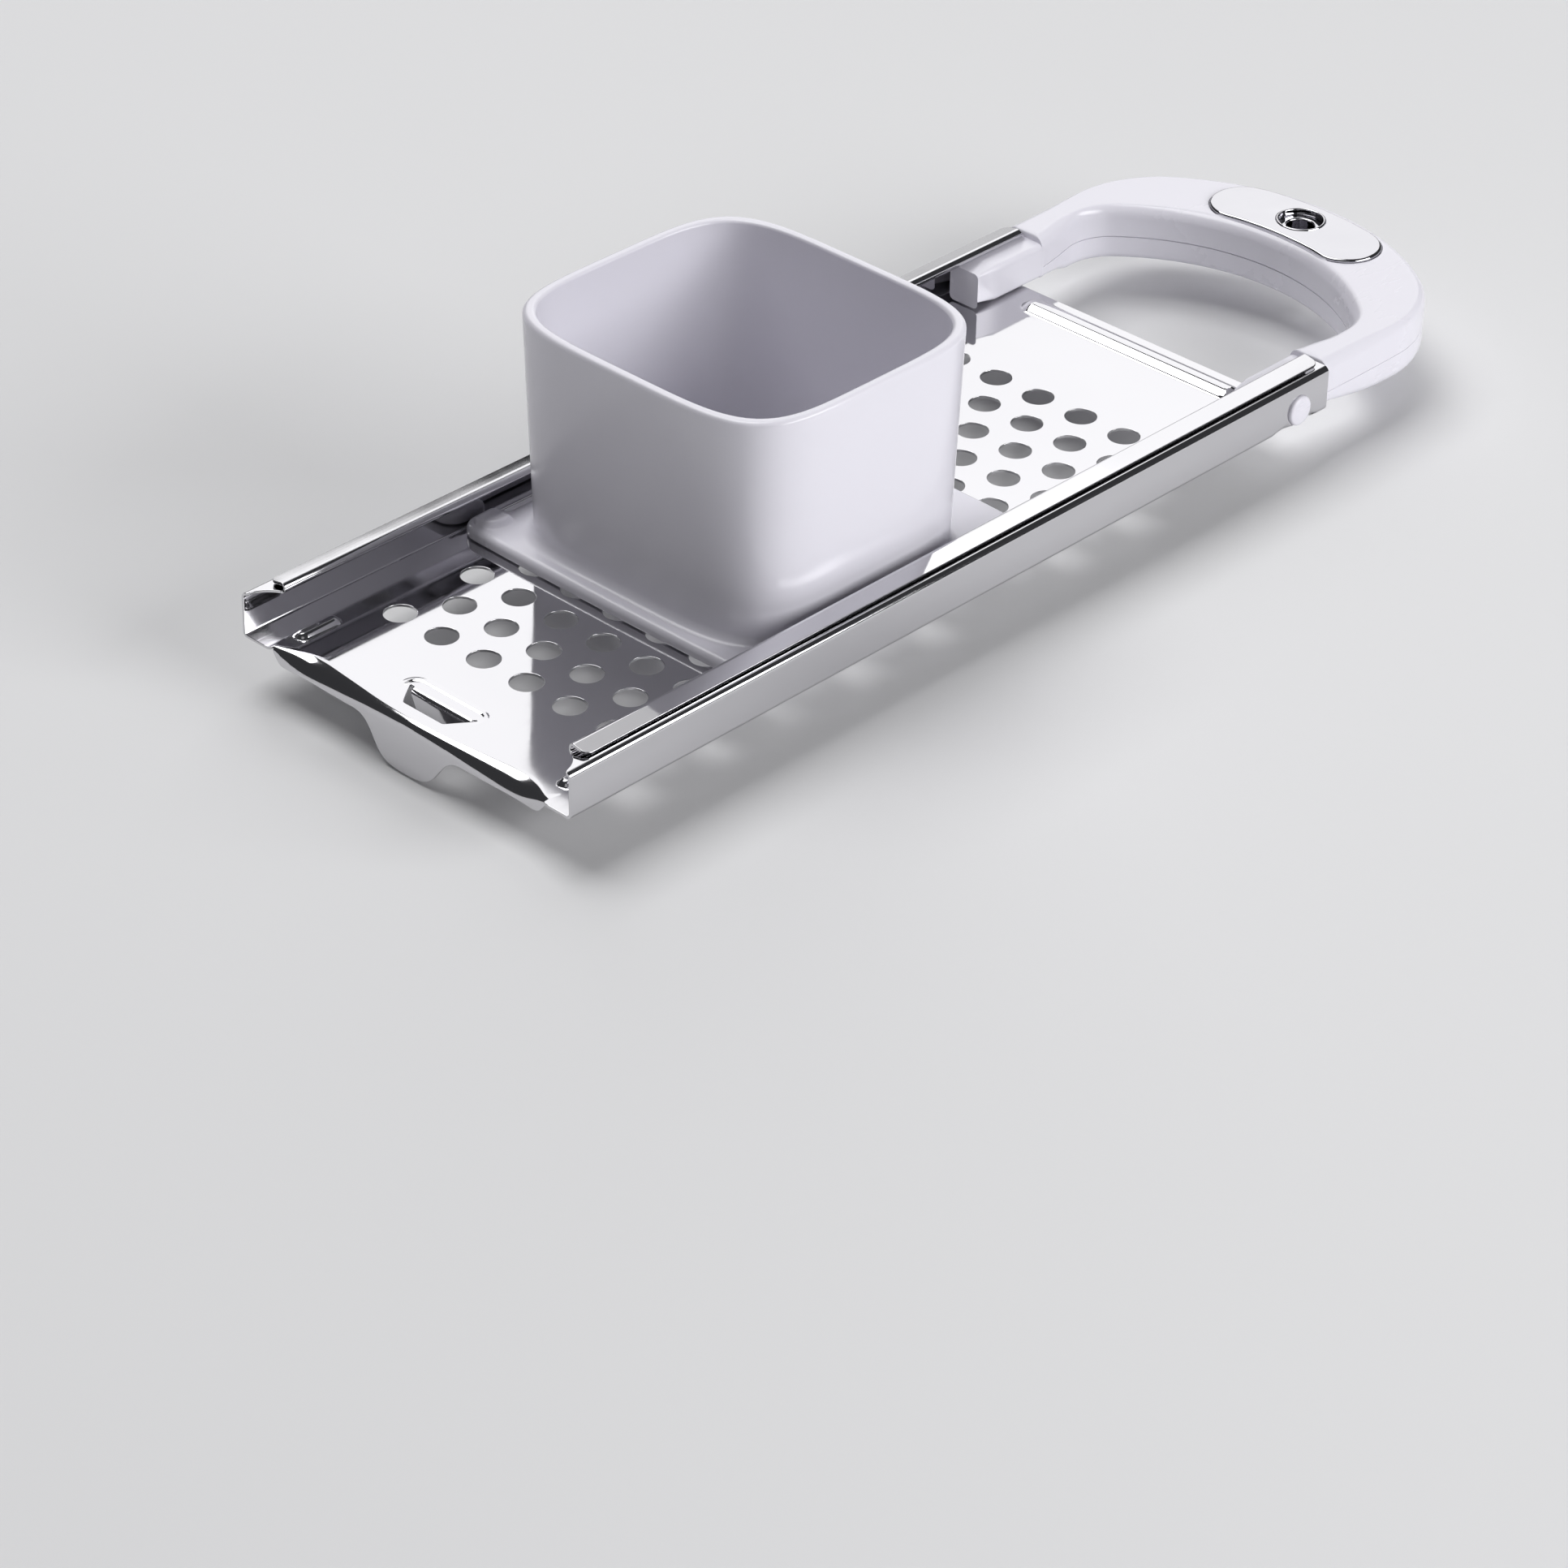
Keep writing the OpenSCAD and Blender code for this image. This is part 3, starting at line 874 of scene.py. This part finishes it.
def section(w, upper, BOT=BOT):
    """Cross-section of one shell as [distance from the inner face, z], from the inner seam over to the outer seam."""
    if upper:
        ri, ro = 3.3, 3.0
        pts = [(1.4, SEAM + 0.07), (0.3, SEAM + 0.07), (0.07, SEAM + 0.14), (0.0, SEAM + 0.34), (0.0, SEAM + 2.4), (0.0, TOP - ri - 0.3)]
        pts += [(ri - ri * math.cos(math.radians(a)), TOP - ri + ri * math.sin(math.radians(a))) for a in np.linspace(8, 90, 10)]
        k = len(pts) - 1
        pts += [(w - ro + ro * math.sin(math.radians(a)), TOP - ro + ro * math.cos(math.radians(a))) for a in np.linspace(0, 82, 10)]
        pts += [(w, TOP - ro - 0.3), (w, SEAM + 2.4), (w, SEAM + 0.2), (w - 0.03, SEAM + 0.08), (w - 0.15, SEAM + 0.03), (w - 1.4, SEAM + 0.03)]
    else:
        r = min(2.2, 0.42 * (SEAM - BOT))
        mid = lerp(BOT + r + 0.3, SEAM - 0.34, 0.5)
        pts = [(w - 1.4, SEAM - 0.03), (w - 0.15, SEAM - 0.03), (w - 0.03, SEAM - 0.08), (w, SEAM - 0.2), (w, mid), (w, BOT + r + 0.3)]
        pts += [(w - r + r * math.cos(math.radians(a)), BOT + r - r * math.sin(math.radians(a))) for a in np.linspace(8, 90, 8)]
        k = len(pts) - 1
        pts += [(r - r * math.sin(math.radians(a)), BOT + r - r * math.cos(math.radians(a))) for a in np.linspace(0, 82, 8)]
        pts += [(0, BOT + r + 0.3), (0, mid), (0, SEAM - 0.34), (0.07, SEAM - 0.14), (0.3, SEAM - 0.07), (1.4, SEAM - 0.07)]
    return pts, k


def loft_shell(B, upper):
    secs = []
    n = len(OUT)
    ends = [(0, 0.9), (0, 0.5), (0, 0.25), (0, 0.08), (0, 0.0)]
    dx = [0.0, 0.06, 0.24, 0.55, 0.95]
    stations = []
    for (_, sh), d in zip(ends, dx):
        stations.append((0, d, sh))
    for j in range(1, n - 1):
        stations.append((j, 0, 0.0))
    for (_, sh), d in reversed(list(zip(ends, dx))):
        stations.append((n - 1, d, sh))
    mid = (TOP + SEAM) / 2 if upper else (BOT + SEAM) / 2
    for j, d, sh in stations:
        o, i = np.array(OUT[j]), np.array(INN[j])
        if j in (0, n - 1):
            o, i = o + np.array((d, 0)), i + np.array((d, 0.0))
        w = float(np.linalg.norm(o - i))
        u = (o - i) / w
        low = under((o[0] + i[0]) / 2)
        pts, k = section(w, upper, low)
        ring = []
        for a, z in pts:
            aa = min(a, w - sh)
            zz = min(z, TOP - sh) if upper else max(z, low + 0.3 * sh)
            q = i + u * aa
            ring.append((q[0], q[1], zz))
        secs.append(B.ring(ring))
    split = k
    for a, b in zip(secs, secs[1:]):
        for q in range(len(a) - 1):
            if q == split:
                continue
            B.f.append((a[q], b[q], b[q + 1], a[q + 1]))
    # end faces at the legs
    for s, flip in ((secs[0], False), (secs[-1], True)):
        c = len(B.v)
        m = np.mean([B.v[q] for q in s], axis=0)
        B.v.append(tuple(m))
        for q in range(len(s)):
            e = (q + 1) % len(s)
            B.f.append((s[e], s[q], c) if flip else (s[q], s[e], c))
    line = [s[split + 1] for s in secs] + [s[split] for s in reversed(secs)]
    return line


def inlay_outline(d=0.0):
    o = arc(117, 0, 85, -12.4, 12.4, 40) + arc(190.5, 16.2, 9.7, 20, 184, 26)[1:-1] + arc(113, 0, 70, 11.8, -11.8, 40) + arc(190.5, -16.2, 9.7, 176, 340, 26)[1:-1]
    clean = []
    for p in o:
        if not clean or math.dist(p, clean[-1]) > 0.05:
            clean.append(p)
    q = np.array(clean)
    for _ in range(3):
        q = (np.roll(q, 1, axis=0) + 2 * q + np.roll(q, -1, axis=0)) / 4
    clean = [tuple(p) for p in q]
    return inset(clean, -d) if d else clean


def rounded_bar(B, x0, x1, y0, y1, z0, z1, r, rx0, rx1, s):
    """Bar along X with rounded long edges r and rounded ends."""
    k = 6

    def cs(x, g):
        a, b, c, d = y0 + g, y1 - g, z0 + g, z1 - g
        rr = max(r - g, 0.25)
        pts = []
        for cx, cz, a0 in ((b - rr, d - rr, 0), (a + rr, d - rr, 90), (a + rr, c + rr, 180), (b - rr, c + rr, 270)):
            for j in range(k + 1):
                t = math.radians(a0 + 90 * j / k)
                pts.append((x, s * (cx + rr * math.cos(t)), cz + rr * math.sin(t)))
        return B.ring(pts)

    rings = []
    for j in range(6):
        t = math.radians(90 * j / 5)
        rings.append(cs(x0 + rx0 * (1 - math.sin(t)), rx0 * (1 - math.cos(math.radians(90) - t))))
    for f in (0.25, 0.5, 0.75):
        rings.append(cs(lerp(x0 + rx0, x1 - rx1, f), 0))
    for j in range(6):
        t = math.radians(90 * j / 5)
        rings.append(cs(x1 - rx1 * (1 - math.sin(t)), rx1 * (1 - math.cos(t))))
    fix = sorted(rings, key=lambda r_: B.v[r_[0]][0])
    for a, b in zip(fix, fix[1:]):
        if s > 0:
            B.bridge(b, a)
        else:
            B.bridge(a, b)
    for ring, flip in ((fix[0], s > 0), (fix[-1], s < 0)):
        B.fan(ring, np.mean([B.v[q] for q in ring], axis=0), flip=not flip)


def build_upper():
    B = Build()
    line = loft_shell(B, True)
    flat = [(B.v[i][0], B.v[i][1]) for i in line]
    hole = inlay_outline(0.42)
    h0 = B.ring([(x, y, TOP) for x, y in hole])
    B.cap([line, h0], TOP, holes=[lambda x, y: in_poly(x, y, hole) or not in_poly(x, y, flat)])
    h1 = B.ring([(x, y, TOP - 0.08) for x, y in inlay_outline(0.3)])
    h2 = B.ring([(x, y, TOP - 0.9) for x, y in inlay_outline(0.26)])
    h3 = B.ring([(x, y, TOP - 0.95) for x, y in inlay_outline(-1.2)])
    for a, b in ((h0, h1), (h1, h2), (h2, h3)):
        B.bridge(a, b)
    for s in (1, -1):
        rounded_bar(B, 113.6, 139.3, 40.87, 50.4, 0.35, 10.2, 1.45, 1.15, 0.3, s)
        rounded_bar(B, 121.7, 131.7, 49.6, 52.7, 0.45, 9.4, 0.6, 0.5, 0.5, s)
        prof = [(3.9, 50.0), (3.9, 53.4), (3.9, 53.95), (3.84, 54.2), (3.66, 54.42), (3.38, 54.55), (2.9, 54.64), (2.0, 54.72), (1.0, 54.77), (0.3, 54.78)]
        rings = B.lathe(prof, lambda r, a, h: (126.7 + r * math.cos(a), s * h, 3.5 - s * r * math.sin(a)), 64)
        B.fan(rings[-1], (126.7, s * 54.78, 3.5))
    return B


def build_lower():
    B = Build()
    line = loft_shell(B, False)
    flat = [(B.v[i][0], B.v[i][1]) for i in line]
    area = sum(flat[i][0] * flat[(i + 1) % len(flat)][1] - flat[(i + 1) % len(flat)][0] * flat[i][1] for i in range(len(flat)))
    hole = [(EYE + 4.5 * math.cos(2 * math.pi * i / 64), 4.5 * math.sin(2 * math.pi * i / 64)) for i in range(64)]
    h0 = B.ring([(x, y, BOT) for x, y in hole])
    B.cap([line, h0], BOT, up=False, holes=[lambda x, y: math.hypot(x - EYE, y) < 4.49 or not in_poly(x, y, flat)])
    h1 = B.ring([(x, y, BOT + 1.5) for x, y in hole])
    B.bridge(h1, h0)
    return B


def orient(ob, flats=()):
    """Turns every closed or nearly closed shell of the mesh outwards."""
    import bmesh
    bm = bmesh.new()
    bm.from_mesh(ob.data)
    bmesh.ops.recalc_face_normals(bm, faces=bm.faces)
    bm.to_mesh(ob.data)
    bm.free()
    me = ob.data
    me.polygons.foreach_set("use_smooth", [True] * len(me.polygons))
    corner_normals(me, 42, flats)


B = build_upper()
upper = new_object("handle_upper", B.v, B.f, SHELL)
orient(upper, (TOP,))
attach(upper, "frame")
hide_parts("handle_upper_shell")

B = build_lower()
lower = new_object("handle_lower", B.v, B.f, SHELL)
orient(lower)
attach(lower, "frame")
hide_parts("handle_lower_shell")


def build_inlay():
    B = Build()
    prof = [(0.0, TOP - 0.5), (0.0, TOP + 0.2), (-0.04, TOP + 0.38), (-0.16, TOP + 0.56), (-0.36, TOP + 0.7), (-0.62, TOP + 0.78), (-0.95, TOP + 0.8)]
    rings = [B.ring([(x, y, z) for x, y in inlay_outline(d)]) for d, z in prof]
    for a, b in zip(rings, rings[1:]):
        B.bridge(a, b)
    hole = [(EYE + 6.7 * math.cos(2 * math.pi * i / 96), 6.7 * math.sin(2 * math.pi * i / 96)) for i in range(96)]
    h0 = B.ring([(x, y, TOP + 0.8) for x, y in hole])
    flat = [(B.v[i][0], B.v[i][1]) for i in rings[-1]]
    B.cap([rings[-1], h0], TOP + 0.8, holes=[lambda x, y: math.hypot(x - EYE, y) < 6.69 or not in_poly(x, y, flat)])

    # collar round the bore: narrow groove, raised ring, then a step down
    prof = [(6.7, 0.8), (6.62, 0.74), (6.56, 0.62), (6.5, 0.7), (6.44, 0.9), (6.3, 1.02), (6.12, 1.06), (5.94, 1.0), (5.8, 0.86), (5.74, 0.6), (5.72, -0.9), (5.66, -1.25), (5.5, -1.36), (4.4, -1.38)]
    rings = []
    for k, (r, h) in enumerate(prof):
        if k == 0:
            rings.append(h0)
        else:
            rings.append(B.ring([(EYE + r * math.cos(2 * math.pi * i / 96), r * math.sin(2 * math.pi * i / 96), TOP + h) for i in range(96)]))
    for a, b in zip(rings, rings[1:]):
        B.bridge(a, b)
    return B


B = build_inlay()
inlay = new_object("handle_inlay_plate", B.v, B.f, CHROME)
orient(inlay, (TOP + 0.8,))
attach(inlay, "frame")
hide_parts("handle_inlay")

B = Build()
prof = [(3.65, -3.3), (3.8, -3.52), (4.1, -3.6), (5.7, -3.6), (5.95, -3.48), (6.03, -3.28), (5.9, -3.05), (4.3, -3.02), (4.3, 10.58), (5.1, 10.62), (5.38, 10.74), (5.45, 10.95),
        (5.36, 11.16), (5.15, 11.28), (4.2, 11.3), (3.9, 11.22), (3.72, 11.05), (3.65, 10.8), (3.65, 4.0)]
B.lathe(prof, lambda r, a, h: (EYE + r * math.cos(a), r * math.sin(a), h), 72, close=True)
eyelet = new_object("hanging_eyelet_tube", B.v, B.f, CHROME)
orient(eyelet)
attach(eyelet, "frame")
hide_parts("hanging_eyelet")

# ---------- floor, light and camera ----------
def floor_material():
    m, nt, b = start("studio_floor")
    tint = noise(nt, coord(nt), 3, 3, 0.5)
    nt.links.new(blend_colour(nt, tint, (0.77, 0.77, 0.78), (0.79, 0.79, 0.80)), b.inputs["Base Color"])
    b.inputs["Roughness"].default_value = 0.75
    return m


me = bpy.data.meshes.new("studio_floor")
S = 6.0
me.from_pydata([(-S, -S, -0.0006), (S, -S, -0.0006), (S, S, -0.0006), (-S, S, -0.0006)], [], [(0, 1, 2, 3)])
me.materials.append(floor_material())
floor = bpy.data.objects.new("studio_floor", me)
bpy.context.scene.collection.objects.link(floor)

world = bpy.data.worlds.new("studio")
bpy.context.scene.world = world
world.use_nodes = True
world.node_tree.nodes["Background"].inputs["Color"].default_value = (0.93, 0.94, 1.0, 1)
world.node_tree.nodes["Background"].inputs["Strength"].default_value = 0.05


def area(name, place, target, sx, sy, level, colour=(1, 1, 1)):
    """Soft box whose face has the given brightness."""
    d = bpy.data.lights.new(name, "AREA")
    d.shape = "RECTANGLE"
    d.size, d.size_y = sx, sy
    d.energy = level * math.pi * sx * sy
    d.color = colour
    ob = bpy.data.objects.new(name, d)
    bpy.context.scene.collection.objects.link(ob)
    ob.location = place
    ob.rotation_mode = "QUATERNION"
    ob.rotation_quaternion = (Vector(target) - Vector(place)).to_track_quat("-Z", "Y")
    return ob


area("back_box", (1.62, 1.545, 1.335), (0, 0, 0.014), 1.75, 1.62, 1.42)
area("top_box", (-0.05, 0.85, 2.1), (0, 0, 0), 1.6, 1.5, 4.1)
area("low_box", (2.3, 1.55, 0.34), (0, 0, 0.02), 1.7, 0.56, 0.75)
area("right_box", (0.45, -1.6, 0.72), (0.0, 0, 0.04), 1.4, 0.8, 6.8)
area("strip_box", (1.52, 0.70, 1.98), (0, 0, 0.02), 0.95, 0.62, 0.7)
area("front_box", (-1.55, -1.35, 1.35), (0, 0, 0.02), 1.6, 1.2, 0.32)

cam_data = bpy.data.cameras.new("camera")
cam = bpy.data.objects.new("camera", cam_data)
bpy.context.scene.collection.objects.link(cam)
cam_data.sensor_width = 36.0
cam_data.lens = 115.092
cam_data.clip_start, cam_data.clip_end = 0.01, 60
right_ = Vector((0.693028618, -0.720759644, 0.014726490))
down_ = Vector((-0.387089859, -0.389274465, -0.835838999))
fwd_ = Vector((0.608171666, 0.573559872, -0.548777093))
rot = Matrix((right_, -down_, -fwd_)).transposed()
cam.matrix_world = Matrix.Translation(Vector((-0.78755, -0.70500, 0.61465))) @ rot.to_4x4()
bpy.context.scene.camera = cam
bpy.context.scene.view_settings.view_transform = "Standard"
bpy.context.scene.view_settings.look = "None"
